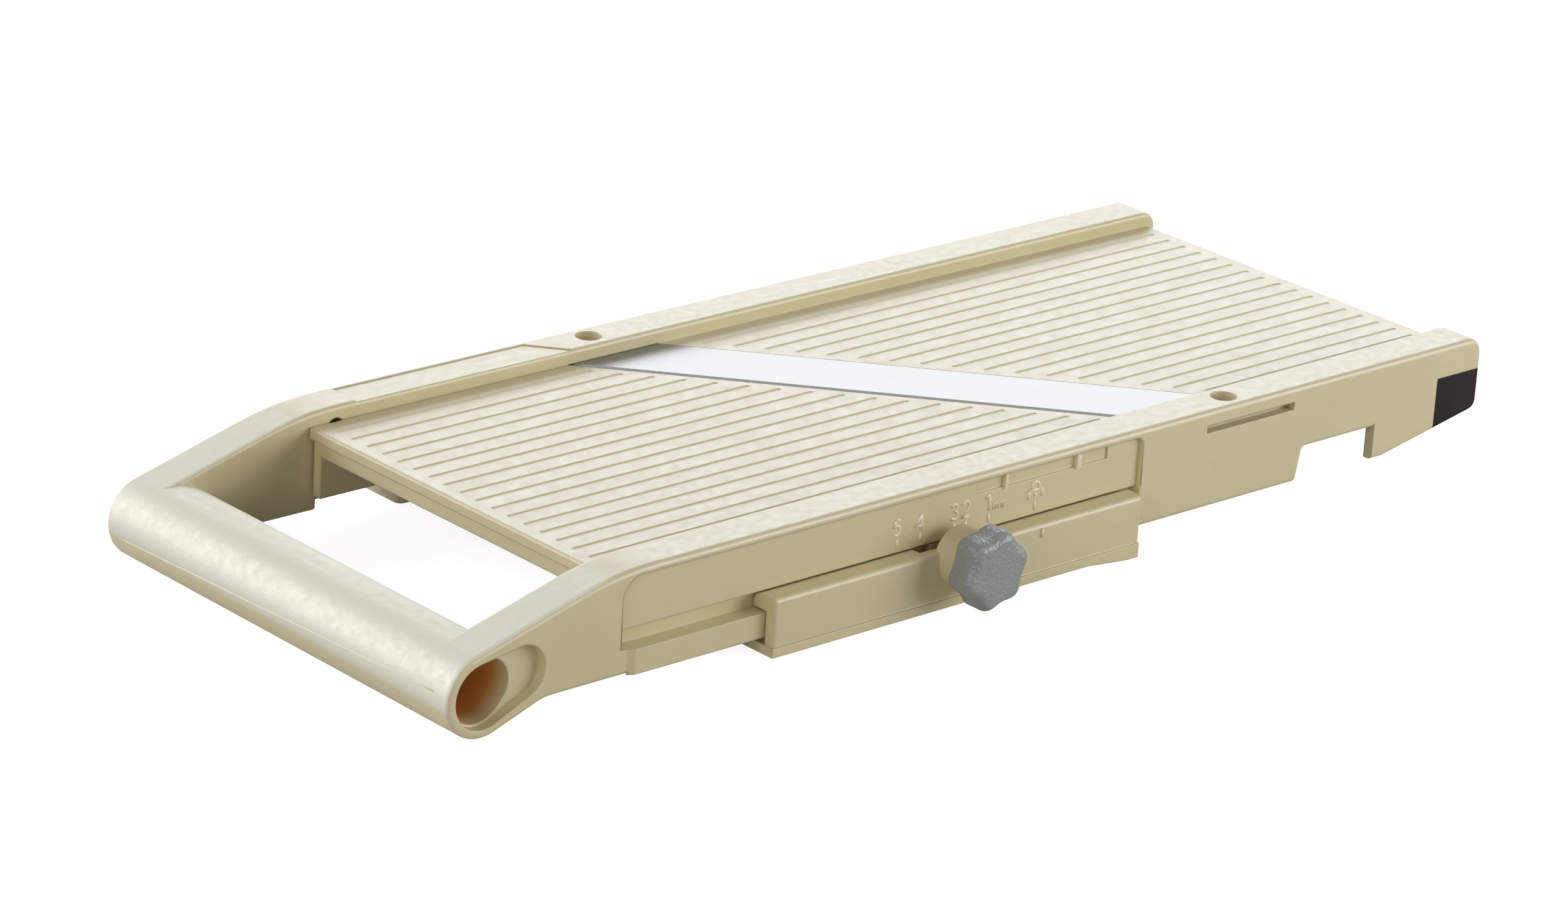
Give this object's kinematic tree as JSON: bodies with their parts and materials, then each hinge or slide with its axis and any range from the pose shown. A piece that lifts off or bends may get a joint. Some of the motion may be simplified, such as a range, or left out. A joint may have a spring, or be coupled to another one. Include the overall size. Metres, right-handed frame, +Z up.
{
  "type": "mandoline slicer",
  "caption": "Flat vegetable slicer with a fluted ramp and bed, a diagonal blade, a hollow cross grip and a side slider with a clamp knob that lowers the ramp.",
  "frame": {"origin": "middle of the bounding box at the table", "axes": "+X along the slicer from the grip to the toe, +Y to the side away from the knob, +Z up"},
  "size_m": [0.3608, 0.1632, 0.0336],
  "materials": {
    "ivory_plastic": "satin",
    "blade_steel": "ground",
    "fastener_steel": "satin",
    "insert_brass": "satin",
    "pad_rubber": "matte",
    "knob_plastic": "grained",
    "shoe_nylon": "matte"
  },
  "bodies": {
    "frame": {"main_frame": "ivory_plastic", "main_blade": "blade_steel", "near_blade_screw": "fastener_steel", "far_blade_screw": "fastener_steel", "near_blade_insert": "insert_brass", "far_blade_insert": "insert_brass", "near_toe_pad": "pad_rubber", "far_toe_pad": "pad_rubber"},
    "carriage": {"carriage_base": "ivory_plastic", "near_slider_block": "ivory_plastic", "far_slider_block": "ivory_plastic", "near_slider_screws": "fastener_steel", "far_slider_screws": "fastener_steel", "near_rear_lift_pin": "fastener_steel", "near_front_lift_pin": "fastener_steel", "far_rear_lift_pin": "fastener_steel", "far_front_lift_pin": "fastener_steel", "clamp_insert": "insert_brass"},
    "ramp": {"feed_ramp": "ivory_plastic"},
    "shoe": {"clamp_shoe": "shoe_nylon"},
    "knob": {"clamp_knob": "knob_plastic", "clamp_stud": "fastener_steel"}
  },
  "joints": [
    {"name": "carriage_slide", "type": "slide", "parent": "frame", "child": "carriage", "axis": [-1, 0, 0], "range_m": [0, 0.0448]},
    {"name": "ramp_drop", "type": "slide", "parent": "frame", "child": "ramp", "axis": [0, 0, -1], "range_m": [0, 0.005]},
    {"name": "shoe_slide", "type": "slide", "parent": "carriage", "child": "shoe", "axis": [0, -1, 0], "range_m": [0, 0.0007]},
    {"name": "knob_turn", "type": "hinge", "parent": "shoe", "child": "knob", "pos_m": [-0.0189, -0.075, 0.01475], "axis": [0, -1, 0], "range_deg": [0, 360]}
  ],
  "couplings": [
    {"joint": "ramp_drop", "follows": "carriage_slide", "ratio": 0.1116},
    {"joint": "knob_turn", "follows": "shoe_slide", "rad_per_m": 8975.9}
  ]
}
